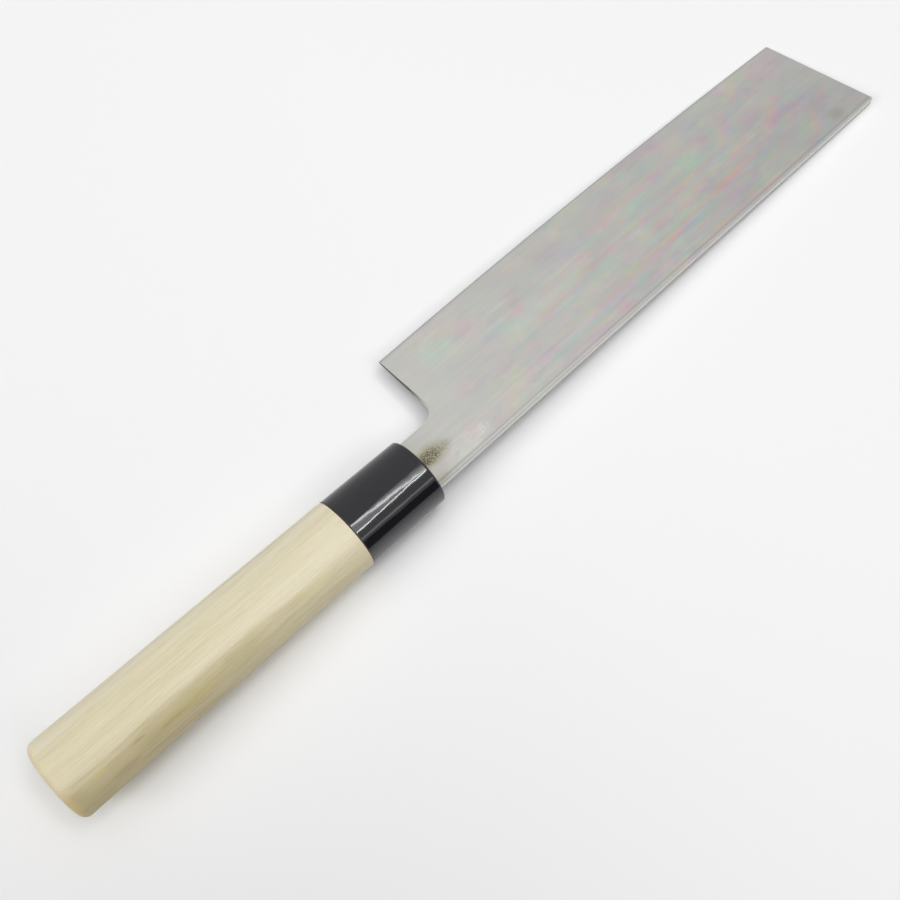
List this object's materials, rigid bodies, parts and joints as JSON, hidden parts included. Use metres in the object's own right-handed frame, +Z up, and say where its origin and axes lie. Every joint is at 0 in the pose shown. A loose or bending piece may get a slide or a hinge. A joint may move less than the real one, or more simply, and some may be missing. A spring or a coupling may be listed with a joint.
{
  "type": "nakiri knife",
  "caption": "Vegetable knife with a straight-backed square-tipped blade, a black ferrule and an oval pale wood grip, lying on its side.",
  "frame": {"origin": "on the table, under the middle of the knife's box as it lies on its right flank", "axes": "+X along the handle towards the tip, +Y from the spine towards the cutting edge, +Z up, out of the left flank"},
  "size_m": [0.3272, 0.0478, 0.0241],
  "materials": {
    "soft_iron": "satin, fine lengthwise brushing",
    "edge_steel": "stone-ground bevel",
    "black_ferrule": "polished black",
    "pale_wood": "sanded, unvarnished"
  },
  "bodies": {
    "root": {"blade_body": "soft_iron", "edge_steel": "edge_steel", "ferrule": "black_ferrule", "grip": "pale_wood"}
  },
  "joints": []
}
